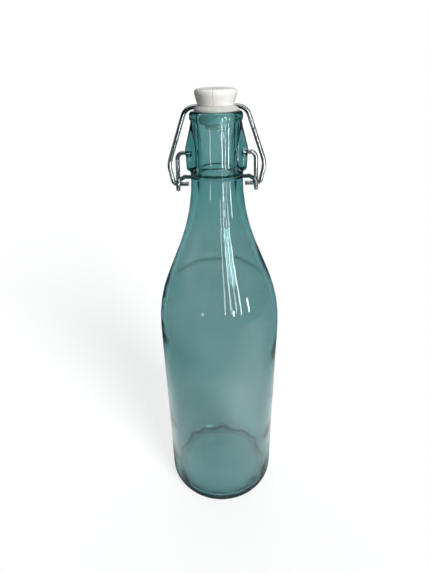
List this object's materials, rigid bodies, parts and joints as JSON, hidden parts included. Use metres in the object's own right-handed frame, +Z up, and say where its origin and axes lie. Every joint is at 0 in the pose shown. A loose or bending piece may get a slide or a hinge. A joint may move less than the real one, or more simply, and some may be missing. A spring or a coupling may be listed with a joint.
{
  "type": "swing-top bottle",
  "caption": "Tall teal glass swing-top bottle with a white stopper, a rubber gasket and a bent-wire lever closure that lifts the stopper off the mouth.",
  "frame": {"origin": "centre of the ring the bottle stands on, at floor level", "axes": "+Z up the bottle's axis; X through the two ears and along the bar of the upper wire; +Y towards the thumb loop behind the neck"},
  "size_m": [0.084, 0.084, 0.3059],
  "materials": {
    "glass": "clear teal glass, polished",
    "stopper": "glossy off-white moulding",
    "gasket": "translucent grey rubber, satin",
    "wire": "drawn steel wire, bright"
  },
  "bodies": {
    "bottle": {"bottle": "glass"},
    "lever": {"lever_bail": "wire"},
    "bail": {"stopper_bail": "wire"},
    "stopper": {"stopper_head": "stopper", "stopper_gasket": "gasket"}
  },
  "joints": [
    {"name": "lever_swing", "type": "hinge", "parent": "bottle", "child": "lever", "pos_m": [0, 0, 0.271], "axis": [1, 0, 0], "range_deg": [0, 84]},
    {"name": "bail_swing", "type": "hinge", "parent": "lever", "child": "bail", "pos_m": [0, -0.0029, 0.2533], "axis": [1, 0, 0], "range_deg": [-52, 0]},
    {"name": "stopper_tilt", "type": "hinge", "parent": "bail", "child": "stopper", "pos_m": [0, 0, 0.296], "axis": [1, 0, 0], "range_deg": [-33, 0]}
  ],
  "couplings": [
    {"joint": "bail_swing", "follows": "lever_swing", "ratio": -0.61},
    {"joint": "stopper_tilt", "follows": "lever_swing", "ratio": -0.39}
  ]
}
